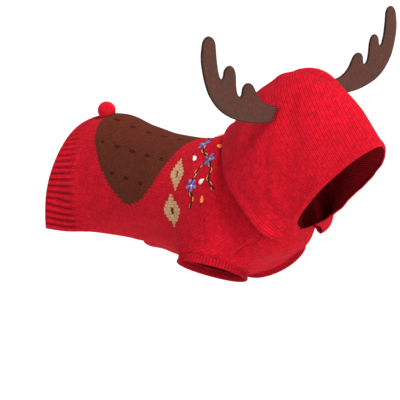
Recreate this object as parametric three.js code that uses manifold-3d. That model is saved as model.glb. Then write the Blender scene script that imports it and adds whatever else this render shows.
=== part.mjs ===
// Hooded knitted sweater for a small dog, with felt antlers and a pompom.
// Millimetres. +X is forward, toward the wearer's head, +Y the wearer's left, +Z up.
// The origin lies on the wearer's back, on the spine, under the middle of the back panel.
import * as THREE from 'three';
import { mergeVertices } from 'three/addons/utils/BufferGeometryUtils.js';
import Module from 'manifold-3d';

const wasm = await Module();
wasm.setup();

// ---- Driving dimensions ----
const KNIT = 2.2;             // thickness of the knitted wall
const RIB = 2.6;              // thickness of the ribbed bands
const FELT = 3;               // thickness of the antler felt
const GAP = 0.3;              // clearance between pieces that are sewn together
const LEG_BAND = 9;           // height of the ribbed band round each front leg
const LEG_RADIUS = 39;        // middle of the cloth round each front leg
const LEG_SPREAD = 1.2;       // how much wider its free rim is
const LEG_REACH = 22;         // how far from the band the body cloth is drawn to it
const LEG_HEIGHT = 80;        // how far up the leg that draw reaches
const LEG_CONTRAST = 4;       // how sharply the nearer leg takes over between the two
const LEG_RIM = { x: 168, y: 50, z: -136 };              // centre of the left leg band's free rim
const LEG_AXIS = { x: 0.141, y: 0.453, z: -0.88 };       // the left leg, down and outward
const POMPOM_RADIUS = 12;
const POMPOM_FLAT = 0.5;      // its underside is pressed to this share of its radius
const POMPOM_SEAT = { place: 2.25, angle: -9 };
const RED = 0xc4142a;
const POMPOM_RED = 0xb8122c;
const FELT_BROWN = 0x5f3c30;

// ---- Fineness of the meshes ----
const ROW_STEP = 0.5;         // rows of the body cloth, in rings
const HOLE_ROWS = 12;         // rows along the leg hole
const HEM_ROWS = 7;
const BACK_COLUMNS = 31;
const CHEST_COLUMNS = 11;
const BAND_ROWS = 4;
const BAND_COLUMNS = 28;
const HOOD_ROWS = 21;
const HOOD_COLUMNS = 15;
const ANTLER_DIVISIONS = 80;
const SEAT_DIVISIONS = 21;
const POMPOM_SEGMENTS = { round: 20, up: 14 };
const BISECTIONS = 40;
const SLOPE_STEP = 0.004;     // step that slopes are taken over, in rings or radians

const DEGREE = Math.PI / 180;
const QUARTER_TURN = 90 * DEGREE;
const HALF_TURN = 180 * DEGREE;
const TURN = 360 * DEGREE;

// Rings of the body, from the rear hem to the neck seam. Each ring stands on a line from its
// crown, on the spine, to its base, on the belly. half is its half width, upper and lower say how
// square it is above and below the middle, and edge is the angle from the crown, in degrees,
// at which the back panel ends.
const BODY_RINGS = [
  { crownX: -133, crownZ: 6, baseX: -166, baseZ: -215, half: 74, upper: 1.9, lower: 2.2, edge: 107.5 },
  { crownX: -118, crownZ: 11, baseX: -131, baseZ: -199, half: 62, upper: 2, lower: 2.2, edge: 115.5 },
  { crownX: -101, crownZ: 15, baseX: -90, baseZ: -177, half: 55, upper: 2.1, lower: 2.2, edge: 124.5 },
  { crownX: -64, crownZ: 16, baseX: -54, baseZ: -159, half: 53, upper: 2.2, lower: 2.2, edge: 134.5 },
  { crownX: -22, crownZ: 8, baseX: -12, baseZ: -147, half: 54, upper: 2.2, lower: 2.3, edge: 142 },
  { crownX: 24, crownZ: 3, baseX: 38, baseZ: -141, half: 56, upper: 2.2, lower: 2.4, edge: 146 },
  { crownX: 68, crownZ: 3, baseX: 90, baseZ: -141, half: 59, upper: 2.2, lower: 2.5, edge: 146 },
  { crownX: 102, crownZ: 6, baseX: 132, baseZ: -142, half: 61, upper: 2.2, lower: 2.5, edge: 146 },
  { crownX: 124, crownZ: 10, baseX: 173, baseZ: -137, half: 61, upper: 2.2, lower: 2.5, edge: 145 },
  { crownX: 137, crownZ: 14, baseX: 215, baseZ: -122, half: 58, upper: 2.1, lower: 2.5, edge: 138 },
  { crownX: 145, crownZ: 17, baseX: 248, baseZ: -104, half: 51, upper: 2.1, lower: 2.6, edge: 131 },
  { crownX: 150, crownZ: 19, baseX: 264, baseZ: -76, half: 43, upper: 2.1, lower: 2.7, edge: 129 },
];
const HEM_RING = 2;           // the ribbed hem band runs from the first ring to this one
const BELLY_RING = 4.6;       // where the chest panel starts under the belly
const LEG_RING = 8;           // the ring beside the front legs
const NECK_RING = BODY_RINGS.length - 1;
const SEAM_EASE = { rear: 1.9, front: 1 };        // rings over which the side seam swings to meet the leg hole
const FLANK_TOP = 0.35;       // share of the way round above which columns keep their angle

// Rings of the hood, from the neck seam, out over it as a soft roll, over the head and forward
// to the face opening. They fan out from the throat.
const HOOD_RINGS = [
  { crownX: 151.5, crownZ: 20.5, baseX: 265.5, baseZ: -73.5, half: 43, upper: 2.1, lower: 2.7 },
  { crownX: 153, crownZ: 25, baseX: 266, baseZ: -78, half: 50, upper: 1.9, lower: 3.1 },
  { crownX: 153, crownZ: 29, baseX: 265, baseZ: -83, half: 57, upper: 1.7, lower: 3.4 },
  { crownX: 158, crownZ: 31, baseX: 265, baseZ: -85, half: 62, upper: 1.6, lower: 3.5 },
  { crownX: 168, crownZ: 41, baseX: 266, baseZ: -84, half: 64, upper: 1.55, lower: 3.5 },
  { crownX: 180, crownZ: 55, baseX: 268, baseZ: -82, half: 63, upper: 1.6, lower: 3.4 },
  { crownX: 197, crownZ: 71, baseX: 269, baseZ: -80, half: 62, upper: 1.7, lower: 3.2 },
  { crownX: 222, crownZ: 85, baseX: 270, baseZ: -78, half: 61, upper: 1.8, lower: 2.9 },
  { crownX: 249, crownZ: 96, baseX: 271, baseZ: -76, half: 60, upper: 1.9, lower: 2.7 },
  { crownX: 284, crownZ: 96, baseX: 271, baseZ: -75, half: 55, upper: 1.9, lower: 2.6 },
  { crownX: 320, crownZ: 76, baseX: 271, baseZ: -74, half: 48, upper: 1.8, lower: 2.5 },
  { crownX: 347, crownZ: 53, baseX: 271, baseZ: -73, half: 42, upper: 1.8, lower: 2.5 },
  { crownX: 370, crownZ: 30, baseX: 271, baseZ: -72, half: 37, upper: 1.8, lower: 2.5 },
];
const HOOD_END = 167;         // angle from the crown at which the hood stops, beside the throat

// Outline of an antler in its own plane: out from the hood, and up. It runs along the lower
// edge to the tip of the beam and back over the two tines.
const ANTLER_OUTLINE = [
  { out: -6, up: -7.5 }, { out: 12, up: -8 }, { out: 28, up: -6.5 }, { out: 42, up: -3.5 },
  { out: 55, up: 1 }, { out: 66, up: 6.5 }, { out: 76, up: 14 }, { out: 84, up: 23 },
  { out: 90, up: 32.5 }, { out: 94, up: 44 }, { out: 96, up: 56 }, { out: 96.5, up: 67 },
  { out: 95, up: 77 }, { out: 92.5, up: 85 }, { out: 87, up: 89 }, { out: 81.5, up: 87.5 },
  { out: 78, up: 83 }, { out: 77, up: 75 }, { out: 76.5, up: 64 }, { out: 75.5, up: 54 },
  { out: 73.5, up: 46.5 }, { out: 71.5, up: 45 }, { out: 69.5, up: 47 }, { out: 67.5, up: 53 },
  { out: 64, up: 56.5 }, { out: 59.5, up: 57 }, { out: 55.5, up: 54 }, { out: 53.5, up: 47 },
  { out: 53.5, up: 36 }, { out: 52.5, up: 28.5 }, { out: 49.5, up: 24.5 }, { out: 47, up: 25.5 },
  { out: 45, up: 32.5 }, { out: 41.5, up: 36 }, { out: 36, up: 36.5 }, { out: 31.5, up: 33.5 },
  { out: 28.5, up: 28.5 }, { out: 25, up: 21.5 }, { out: 18, up: 14.5 }, { out: 8, up: 9.5 },
  { out: -6, up: 7 },
];
// Where each antler is sewn on the hood, and how far it droops outward, in degrees.
const ANTLERS = [
  { name: 'antler_left', side: 1, ring: 8.65, angle: 37, droop: 3 },
  { name: 'antler_right', side: -1, ring: 8.55, angle: 57, droop: 4 },
];
// The part of the hood round a seat that the antler's end is cut to: how many rings each way,
// from which angle from the crown, how far below the seat, and how deep.
const SEAT = { rings: 2.5, from: 5, below: 60, depth: 12 };

// ---- Cloth surfaces ----

// A column of a table at a place between its rows, on a smooth curve through them.
function column(rows, name, place) {
  const last = rows.length - 1;
  const i = Math.min(Math.max(Math.floor(place), 0), last - 1);
  const t = place - i;
  const at = (k) => rows[Math.min(Math.max(k, 0), last)][name];
  const before = i > 0 ? at(i - 1) : 2 * at(0) - at(1);
  const after = i + 2 <= last ? at(i + 2) : 2 * at(last) - at(last - 1);
  const slopeIn = (at(i + 1) - before) / 2;
  const slopeOut = (after - at(i)) / 2;
  const t2 = t * t;
  const t3 = t2 * t;
  return (2 * t3 - 3 * t2 + 1) * at(i) + (t3 - 2 * t2 + t) * slopeIn
    + (3 * t2 - 2 * t3) * at(i + 1) + (t3 - t2) * slopeOut;
}

// A point of a ring, at an angle from its crown. Positive angles are the wearer's left.
function ringPoint(rows, place, angle) {
  const cosine = Math.cos(angle);
  const sine = Math.sin(angle);
  const power = 2 / column(rows, cosine > 0 ? 'upper' : 'lower', place);
  const along = (1 - Math.sign(cosine) * Math.abs(cosine) ** power) / 2;
  const aside = Math.sign(sine) * Math.abs(sine) ** power;
  const crown = new THREE.Vector3(column(rows, 'crownX', place), 0, column(rows, 'crownZ', place));
  const base = new THREE.Vector3(column(rows, 'baseX', place), 0, column(rows, 'baseZ', place));
  const point = crown.lerp(base, along);
  point.y = aside * column(rows, 'half', place);
  return point;
}

// The leg on one side, 1 for the wearer's left and -1 for the right.
function leg(side) {
  const axis = new THREE.Vector3(LEG_AXIS.x, side * LEG_AXIS.y, LEG_AXIS.z).normalize();
  const rim = new THREE.Vector3(LEG_RIM.x, side * LEG_RIM.y, LEG_RIM.z);
  const top = rim.clone().addScaledVector(axis, -LEG_BAND);
  return { axis, rim, top };
}
const LEGS = { left: leg(1), right: leg(-1) };

// How far a point is along a leg's axis, and how far from it.
function legPlace(which, point) {
  const offset = point.clone().sub(which.top);
  const along = offset.dot(which.axis);
  return { along, radius: Math.sqrt(Math.max(offset.lengthSq() - along * along, 0)) };
}

// The body cloth: its ring, drawn along each leg to the plane in which the leg band is sewn on.
// Between the legs the nearer one draws it.
function bodyPoint(place, angle) {
  const point = ringPoint(BODY_RINGS, place, angle);
  const pulls = [LEGS.left, LEGS.right].map((which) => {
    const { along, radius } = legPlace(which, point);
    const beside = 1 - THREE.MathUtils.smoothstep(radius, LEG_RADIUS, LEG_RADIUS + LEG_REACH);
    const level = 1 - THREE.MathUtils.smoothstep(Math.abs(along), LEG_HEIGHT / 2, LEG_HEIGHT);
    return { axis: which.axis, along, strength: beside * level };
  });
  const strongest = Math.max(...pulls.map(({ strength }) => strength));
  const total = pulls.reduce((sum, { strength }) => sum + strength ** LEG_CONTRAST, 0);
  if (total === 0) return point;
  for (const { axis, along, strength } of pulls) {
    point.addScaledVector(axis, -along * strongest * strength ** LEG_CONTRAST / total);
  }
  return point;
}

const hoodPoint = (place, angle) => ringPoint(HOOD_RINGS, place, angle);

// How far a point of a body ring is from the left leg's axis.
const ringRadius = (place, angle) => legPlace(LEGS.left, ringPoint(BODY_RINGS, place, angle)).radius;

// The value between low and high at which isLow stops being true.
function bisect(low, high, isLow) {
  for (let step = 0; step < BISECTIONS; step += 1) {
    const middle = (low + high) / 2;
    if (isLow(middle)) low = middle;
    else high = middle;
  }
  return (low + high) / 2;
}

// The angle, to the nearest degree, at which a ring comes closest to that axis.
function nearestAngle(place) {
  let best = QUARTER_TURN;
  for (let angle = QUARTER_TURN; angle <= HALF_TURN; angle += DEGREE) {
    if (ringRadius(place, angle) < ringRadius(place, best)) best = angle;
  }
  return best;
}

// The two angles at which a ring crosses the edge of the leg hole.
function holeAngles(place) {
  const middle = nearestAngle(place);
  return {
    outer: bisect(middle / 2, middle, (angle) => ringRadius(place, angle) > LEG_RADIUS),
    inner: bisect(middle, HALF_TURN, (angle) => ringRadius(place, angle) < LEG_RADIUS),
  };
}

// The places at which the leg hole starts and ends.
const isBeside = (place) => ringRadius(place, nearestAngle(place)) > LEG_RADIUS;
const HOLE_REAR = bisect(BELLY_RING, LEG_RING, isBeside);
const HOLE_FRONT = bisect(LEG_RING, NECK_RING, (place) => !isBeside(place));

// The angle of the seam between the back and the chest panel. It bends to both ends of the leg hole.
function seamAngle(place) {
  let seam = column(BODY_RINGS, 'edge', place) * DEGREE;
  for (const [end, ease] of [[HOLE_REAR, SEAM_EASE.rear], [HOLE_FRONT, SEAM_EASE.front]]) {
    const miss = nearestAngle(end) - column(BODY_RINGS, 'edge', end) * DEGREE;
    seam += miss * (1 - THREE.MathUtils.smoothstep(Math.abs(place - end), 0, ease));
  }
  return seam;
}

// The angle at which the back panel ends and the one at which the chest panel starts.
function panelEdges(place) {
  if (place > HOLE_REAR && place < HOLE_FRONT) {
    const { outer, inner } = holeAngles(place);
    return { back: outer, chest: inner };
  }
  const seam = seamAngle(place);
  const perRadian = bodyPoint(place, seam).distanceTo(bodyPoint(place, seam - SLOPE_STEP)) / SLOPE_STEP;
  const half = GAP / 2 / perRadian;
  return { back: seam - half, chest: seam + half };
}

// ---- Meshes ----

// Evenly spaced numbers, both ends included.
const spaced = (from, to, count) => Array.from({ length: count }, (_, i) => from + (to - from) * i / (count - 1));

// Places from one on the body to the neck, closer together at the two ends of the leg hole.
function bodyPlaces(from) {
  const stretch = (low, high) => spaced(low, high, Math.ceil((high - low) / ROW_STEP) + 1);
  const places = stretch(from, HOLE_REAR);
  for (let row = 1; row < HOLE_ROWS; row += 1) {
    const share = (1 - Math.cos(Math.PI * row / HOLE_ROWS)) / 2;
    places.push(HOLE_REAR + (HOLE_FRONT - HOLE_REAR) * share);
  }
  return [...places, ...stretch(HOLE_FRONT, NECK_RING)];
}

// A point of a cloth surface and the surface's normal there.
function vertexOf(surface, place, angle) {
  const along = surface(place + SLOPE_STEP, angle).sub(surface(place - SLOPE_STEP, angle));
  const round = surface(place, angle + SLOPE_STEP).sub(surface(place, angle - SLOPE_STEP));
  return { point: surface(place, angle), normal: along.cross(round).normalize() };
}

// A closed wall round a grid of vertices, from inside to outside of its middle surface.
// A closed grid goes round a tube.
function wallGeometry(grid, outside, inside, closed = false) {
  const rows = grid.length;
  const columns = grid[0].length;
  const positions = [];
  for (const offset of [outside, -inside]) {
    for (const { point, normal } of grid.flat()) {
      positions.push(...point.clone().addScaledVector(normal, offset).toArray());
    }
  }
  const layer = rows * columns;
  const outer = (i, j) => i * columns + (j % columns);
  const inner = (i, j) => layer + outer(i, j);
  const triangles = [];
  const quad = (a, b, c, d) => triangles.push(a, b, c, a, c, d);
  const spans = closed ? columns : columns - 1;
  for (let i = 0; i < rows - 1; i += 1) {
    for (let j = 0; j < spans; j += 1) {
      quad(outer(i, j), outer(i + 1, j), outer(i + 1, j + 1), outer(i, j + 1));
      quad(inner(i, j), inner(i, j + 1), inner(i + 1, j + 1), inner(i + 1, j));
    }
    if (!closed) {
      quad(outer(i, 0), inner(i, 0), inner(i + 1, 0), outer(i + 1, 0));
      quad(outer(i, spans), outer(i + 1, spans), inner(i + 1, spans), inner(i, spans));
    }
  }
  for (let j = 0; j < spans; j += 1) {
    quad(outer(0, j), outer(0, j + 1), inner(0, j + 1), inner(0, j));
    quad(outer(rows - 1, j), inner(rows - 1, j), inner(rows - 1, j + 1), outer(rows - 1, j + 1));
  }
  const geometry = new THREE.BufferGeometry();
  geometry.setAttribute('position', new THREE.Float32BufferAttribute(positions, 3));
  geometry.setIndex(triangles);
  return facesOut(geometry);
}

const clothGeometry = (grid, thickness, closed) => wallGeometry(grid, thickness / 2, thickness / 2, closed);

// Turns every triangle over if the mesh encloses a negative volume.
function facesOut(geometry) {
  const position = geometry.getAttribute('position');
  const index = geometry.getIndex().array;
  const corner = (k) => new THREE.Vector3().fromBufferAttribute(position, index[k]);
  let volume = 0;
  for (let k = 0; k < index.length; k += 3) volume += corner(k).dot(corner(k + 1).cross(corner(k + 2)));
  if (volume < 0) {
    for (let k = 0; k < index.length; k += 3) [index[k + 1], index[k + 2]] = [index[k + 2], index[k + 1]];
  }
  return geometry;
}

// A closed mesh as a solid, and one solid less another as a mesh.
function solidOf(geometry) {
  const bare = geometry.clone();
  bare.deleteAttribute('normal');
  bare.deleteAttribute('uv');
  const merged = mergeVertices(bare, 1e-4);
  const vertProperties = new Float32Array(merged.getAttribute('position').array);
  const triVerts = new Uint32Array(merged.getIndex().array);
  return new wasm.Manifold(new wasm.Mesh({ numProp: 3, vertProperties, triVerts }));
}

function cutGeometry(geometry, cutter) {
  const mesh = solidOf(geometry).subtract(solidOf(cutter)).getMesh();
  const cut = new THREE.BufferGeometry();
  cut.setAttribute('position', new THREE.BufferAttribute(mesh.vertProperties, 3));
  cut.setIndex(new THREE.BufferAttribute(mesh.triVerts, 1));
  return cut;
}

const yarn = (color, roughness = 0.95) => new THREE.MeshStandardMaterial({ color, roughness, metalness: 0 });
const group = new THREE.Group();

function add(name, geometry, material) {
  const mesh = new THREE.Mesh(geometry, material);
  mesh.name = name;
  group.add(mesh);
  return mesh;
}

// ---- Body ----

// Columns keep their angle high on the flank, and close up only beside the leg hole.
function backAngle(place, share) {
  const seam = seamAngle(place);
  const { back } = panelEdges(place);
  const low = THREE.MathUtils.smoothstep(Math.abs(share), FLANK_TOP, 1);
  return share * seam - Math.sign(share) * (seam - back) * low;
}

function backGrid(places) {
  return places.map((place) => spaced(-1, 1, BACK_COLUMNS)
    .map((share) => vertexOf(bodyPoint, place, backAngle(place, share))));
}

// Half the seam clearance between the hem band and the back panel, in rings.
const perRing = bodyPoint(HEM_RING + SLOPE_STEP, QUARTER_TURN)
  .distanceTo(bodyPoint(HEM_RING, QUARTER_TURN)) / SLOPE_STEP;
const hemStep = GAP / 2 / perRing;
add('back_panel', clothGeometry(backGrid(bodyPlaces(HEM_RING + hemStep)), KNIT), yarn(RED));
add('hem_rib', clothGeometry(backGrid(spaced(0, HEM_RING - hemStep, HEM_ROWS)), RIB), yarn(RED));

const chestGrid = bodyPlaces(BELLY_RING).map((place) => {
  const { chest } = panelEdges(place);
  return spaced(chest, TURN - chest, CHEST_COLUMNS).map((angle) => vertexOf(bodyPoint, place, angle));
});
add('chest_panel', clothGeometry(chestGrid, KNIT), yarn(RED));

// ---- Leg bands ----
// A band starts just clear of the body cloth, which lies in the plane of the leg hole there.
const BAND_START = KNIT / 2 + 2 * GAP;
for (const [name, side, which] of [['leg_rib_left', 1, LEGS.left], ['leg_rib_right', -1, LEGS.right]]) {
  const outward = new THREE.Vector3(0, side, 0).addScaledVector(which.axis, -side * which.axis.y).normalize();
  const forward = new THREE.Vector3().crossVectors(outward, which.axis);
  const angles = spaced(0, TURN, BAND_COLUMNS + 1).slice(0, -1);
  const grid = spaced(0, 1, BAND_ROWS).map((share) => angles.map((angle) => {
    const normal = outward.clone().multiplyScalar(Math.cos(angle)).addScaledVector(forward, Math.sin(angle));
    const point = which.top.clone()
      .addScaledVector(which.axis, BAND_START + (LEG_BAND - BAND_START) * share)
      .addScaledVector(normal, LEG_RADIUS + LEG_SPREAD * share);
    return { point, normal };
  }));
  add(name, clothGeometry(grid, RIB, true), yarn(RED));
}

// ---- Hood ----
for (const [name, side] of [['hood_left', 1], ['hood_right', -1]]) {
  const grid = spaced(0, HOOD_RINGS.length - 1, HOOD_ROWS).map((place) => {
    const aside = GAP / 2 / column(HOOD_RINGS, 'half', place);
    const seam = Math.asin(aside ** (column(HOOD_RINGS, 'upper', place) / 2));
    return spaced(seam, HOOD_END * DEGREE, HOOD_COLUMNS).map((angle) => vertexOf(hoodPoint, place, side * angle));
  });
  add(name, clothGeometry(grid, KNIT), yarn(RED));
}

// ---- Antlers ----
// Flat felt, upright and square to the wearer's back. The straight end is cut to the hood's
// surface, which it meets with the usual clearance.
for (const { name, side, ring, angle, droop } of ANTLERS) {
  const seat = hoodPoint(ring, side * angle * DEGREE);
  const points = ANTLER_OUTLINE.map((p) => new THREE.Vector3(p.out, p.up, 0));
  const curve = new THREE.CatmullRomCurve3(points, false, 'centripetal');
  const outline = new THREE.Shape(curve.getPoints(ANTLER_DIVISIONS).map((p) => new THREE.Vector2(p.x, p.y)));
  const felt = new THREE.ExtrudeGeometry(outline, { depth: FELT, bevelEnabled: false });
  felt.translate(0, 0, -FELT / 2);
  felt.rotateZ(-droop * DEGREE);
  const out = new THREE.Vector3(0, side, 0);
  const up = new THREE.Vector3(0, 0, 1);
  const front = new THREE.Vector3().crossVectors(out, up);
  felt.applyMatrix4(new THREE.Matrix4().makeBasis(out, up, front).setPosition(seat));
  const turns = spaced(SEAT.from * DEGREE, (angle + SEAT.below) * DEGREE, SEAT_DIVISIONS);
  const patch = spaced(ring - SEAT.rings, ring + SEAT.rings, SEAT_DIVISIONS)
    .map((place) => turns.map((turn) => vertexOf(hoodPoint, place, side * turn)));
  add(name, cutGeometry(felt, wallGeometry(patch, KNIT / 2 + GAP, SEAT.depth)), yarn(FELT_BROWN, 1));
}

// ---- Pompom ----
// A ball of cut yarn, pressed flat where it is sewn down, a little to the right of the spine.
const pompom = new THREE.SphereGeometry(POMPOM_RADIUS, POMPOM_SEGMENTS.round, POMPOM_SEGMENTS.up);
const pompomSeat = bodyPoint(POMPOM_SEAT.place, POMPOM_SEAT.angle * DEGREE);
const pompomHeight = POMPOM_FLAT * POMPOM_RADIUS + KNIT / 2 + GAP;
const corners = pompom.getAttribute('position');
for (let k = 0; k < corners.count; k += 1) {
  const height = corners.getY(k);
  corners.setY(k, height < 0 ? height * POMPOM_FLAT : height);
}
pompom.rotateX(QUARTER_TURN);
pompom.translate(pompomSeat.x, pompomSeat.y, pompomSeat.z + pompomHeight);
add('pompom', pompom, yarn(POMPOM_RED, 1));

export default group;
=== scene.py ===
"""A small dog's red knitted hoodie in its worn shape, with felt antlers and a pompom.

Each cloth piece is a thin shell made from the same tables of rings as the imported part. Lengths
are in millimetres up to new_object. +X points to the wearer's head, +Y to the wearer's left and
+Z up. Rings are numbered from the rear, and a place may lie between two. Angles go round a ring
from its crown, positive to the left. side is 1 for the wearer's left and -1 for the right.
"""

from functools import partialmethod
import math

import bpy
import numpy as np
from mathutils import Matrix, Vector
from mathutils.bvhtree import BVHTree
from mathutils.geometry import delaunay_2d_cdt
from numpy.linalg import norm


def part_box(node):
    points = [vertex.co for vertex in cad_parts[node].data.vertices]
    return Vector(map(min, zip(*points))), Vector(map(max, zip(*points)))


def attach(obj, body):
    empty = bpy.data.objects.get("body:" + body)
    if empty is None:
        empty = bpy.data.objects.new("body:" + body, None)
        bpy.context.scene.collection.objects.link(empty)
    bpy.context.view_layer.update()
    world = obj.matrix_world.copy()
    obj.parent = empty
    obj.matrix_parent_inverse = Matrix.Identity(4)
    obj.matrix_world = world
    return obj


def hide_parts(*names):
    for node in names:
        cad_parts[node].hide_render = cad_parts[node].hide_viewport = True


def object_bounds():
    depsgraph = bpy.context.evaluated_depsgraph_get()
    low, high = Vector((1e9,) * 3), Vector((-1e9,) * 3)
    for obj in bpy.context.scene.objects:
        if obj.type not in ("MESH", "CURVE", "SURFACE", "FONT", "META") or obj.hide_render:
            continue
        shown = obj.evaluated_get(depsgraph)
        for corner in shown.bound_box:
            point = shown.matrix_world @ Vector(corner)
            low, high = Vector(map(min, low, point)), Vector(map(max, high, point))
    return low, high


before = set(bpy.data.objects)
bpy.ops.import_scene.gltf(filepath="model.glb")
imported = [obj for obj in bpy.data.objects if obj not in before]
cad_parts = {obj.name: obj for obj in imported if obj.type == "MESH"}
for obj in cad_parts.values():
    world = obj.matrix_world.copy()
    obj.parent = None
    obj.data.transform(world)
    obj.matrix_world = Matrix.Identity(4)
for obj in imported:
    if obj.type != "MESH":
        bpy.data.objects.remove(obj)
cad_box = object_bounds()

# ---- The part's dimensions ----
MM = 0.001
KNIT, RIB, FELT = 2.2, 2.6, 3.0  # thicknesses of knit, ribbed bands and antlers
LEG_BAND = 9.0  # length of a leg band
LEG_RADIUS = 39.0  # of a leg hole
LEG_SPREAD = 1.2  # how much its band widens
LEG_REACH = 22.0  # how far round its hole a leg draws the cloth
LEG_HEIGHT = 80.0  # cloth further along a leg isn't drawn
LEG_CONTRAST = 4  # of the nearer leg's pull
LEG_RIM = np.array([168.0, 50.0, -136.0])  # middle of the left band's free end
LEG_AXIS = np.array([0.141, 0.453, -0.88])  # down the left leg
HEM_RING = 2.0  # where the hem band meets the back panel
BELLY_RING = 4.6  # the chest panel's rear end
LEG_RING = 8.0  # within the leg hole
NECK_RING = 11.0  # where the body meets the hood
REAR_EASE, FRONT_EASE = 1.9, 1.0  # rings over which the side seam bends
FLANK_TOP = 0.35  # share of a flank above which no column closes up
HOOD_END = math.radians(167)  # where a hood half ends under the chin

# crown x and z, base x and z, half width, squareness above and below, and on the body the angle
# in degrees where the back panel ends
BODY_RINGS = np.array([
    [-133, 6, -166, -215, 74, 1.9, 2.2, 107.5],
    [-118, 11, -131, -199, 62, 2.0, 2.2, 115.5],
    [-101, 15, -90, -177, 55, 2.1, 2.2, 124.5],
    [-64, 16, -54, -159, 53, 2.2, 2.2, 134.5],
    [-22, 8, -12, -147, 54, 2.2, 2.3, 142],
    [24, 3, 38, -141, 56, 2.2, 2.4, 146],
    [68, 3, 90, -141, 59, 2.2, 2.5, 146],
    [102, 6, 132, -142, 61, 2.2, 2.5, 146],
    [124, 10, 173, -137, 61, 2.2, 2.5, 145],
    [137, 14, 215, -122, 58, 2.1, 2.5, 138],
    [145, 17, 248, -104, 51, 2.1, 2.6, 131],
    [150, 19, 264, -76, 43, 2.1, 2.7, 129],
])
HOOD_RINGS = np.array([
    [151.5, 20.5, 265.5, -73.5, 43, 2.1, 2.7],
    [153, 25, 266, -78, 50, 1.9, 3.1],
    [153, 29, 265, -83, 57, 1.7, 3.4],
    [158, 31, 265, -85, 62, 1.6, 3.5],
    [168, 41, 266, -84, 64, 1.55, 3.5],
    [180, 55, 268, -82, 63, 1.6, 3.4],
    [197, 71, 269, -80, 62, 1.7, 3.2],
    [222, 85, 270, -78, 61, 1.8, 2.9],
    [249, 96, 271, -76, 60, 1.9, 2.7],
    [284, 96, 271, -75, 55, 1.9, 2.6],
    [320, 76, 271, -74, 48, 1.8, 2.5],
    [347, 53, 271, -73, 42, 1.8, 2.5],
    [370, 30, 271, -72, 37, 1.8, 2.5],
])
CROWN_X, CROWN_Z, BASE_X, BASE_Z, HALF, UPPER, LOWER, EDGE = range(8)

ANTLER_OUTLINE = np.array([
    [-6, -7.5], [12, -8], [28, -6.5], [42, -3.5], [55, 1], [66, 6.5], [76, 14], [84, 23],
    [90, 32.5], [94, 44], [96, 56], [96.5, 67], [95, 77], [92.5, 85], [87, 89], [81.5, 87.5],
    [78, 83], [77, 75], [76.5, 64], [75.5, 54], [73.5, 46.5], [71.5, 45], [69.5, 47], [67.5, 53],
    [64, 56.5], [59.5, 57], [55.5, 54], [53.5, 47], [53.5, 36], [52.5, 28.5], [49.5, 24.5],
    [47, 25.5], [45, 32.5], [41.5, 36], [36, 36.5], [31.5, 33.5], [28.5, 28.5], [25, 21.5],
    [18, 14.5], [8, 9.5], [-2, 7.5],
])
SIDES = [("left", 1), ("right", -1)]
# name, side, place and angle in degrees on the hood, and droop in degrees
ANTLERS = [("left", 1, 8.65, 37, 3), ("right", -1, 8.55, 57, 4)]

# ---- The knit ----
WALE, COURSE = 3.75, 2.75  # from one wale or course to the next
RIB_PITCH, BAND_PITCH = 6.9, 3.6  # from rib to rib on the hem and the leg bands
CLOTH_STEP = 2.1  # fineness of the cloth meshes
HOLE_ROWS = 56  # mesh rows along a leg hole
REAR_SPAN, FRONT_SPAN = 40, 30  # from ring to ring, behind and before it
ROUND_LIP = [0.0, 0.1, 0.35, 0.75, 1.3]  # distances of rows from a rounded edge
FLAT_LIP = [0.0, 0.02, 0.06, 0.6]  # the same for a square one
EDGE_ROUNDING = 0.55  # share of a wall's thickness
FAR = 1e3  # from an edge that has no effect


# ---- Surfaces ----

def smoothstep(x, low, high):
    """0 up to low, 1 from high, and a smooth step between them."""
    t = np.clip((x - low) / (high - low), 0, 1)
    return t * t * (3 - 2 * t)


def unit(vectors):
    return vectors / np.maximum(norm(vectors, axis=-1, keepdims=True), 1e-9)


def extended(rows):
    """Rows with one more at each end, in line with the last two."""
    return np.concatenate([[2 * rows[0] - rows[1]], rows, [2 * rows[-1] - rows[-2]]])


def column(rows, which, place):
    """A column of a table at places between its rows, on a smooth curve through them."""
    values = extended(rows[:, which])
    i = np.clip(np.floor(place), 0, len(rows) - 2).astype(int)
    t = place - i
    before, here, there, after = (values[i + k] for k in range(4))
    slope_in, slope_out = (there - before) / 2, (after - here) / 2
    return ((2 * t**3 - 3 * t**2 + 1) * here + (t**3 - 2 * t**2 + t) * slope_in
            + (3 * t**2 - 2 * t**3) * there + (t**3 - t**2) * slope_out)


def ring_point(rows, place, angle):
    """Points at places on rings, at angles in radians."""
    place, angle = np.broadcast_arrays(np.asarray(place, float), np.asarray(angle, float))
    cosine, sine = np.cos(angle), np.sin(angle)
    power = 2 / np.where(cosine > 0, column(rows, UPPER, place), column(rows, LOWER, place))
    along = (1 - np.sign(cosine) * np.abs(cosine)**power) / 2
    aside = np.sign(sine) * np.abs(sine)**power
    crown_x, crown_z = column(rows, CROWN_X, place), column(rows, CROWN_Z, place)
    x = crown_x + (column(rows, BASE_X, place) - crown_x) * along
    z = crown_z + (column(rows, BASE_Z, place) - crown_z) * along
    return np.stack([x, aside * column(rows, HALF, place), z], -1)


def leg(side):
    """The axis of a leg and the middle of its hole."""
    mirror = np.array([1, side, 1])
    axis = unit(LEG_AXIS * mirror)
    return axis, LEG_RIM * mirror - LEG_BAND * axis


def leg_place(side, points):
    """How far points are along a leg's axis, and from it."""
    axis, top = leg(side)
    offset = points - top
    along = offset @ axis
    return along, np.sqrt(np.maximum((offset**2).sum(-1) - along**2, 0))


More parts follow.
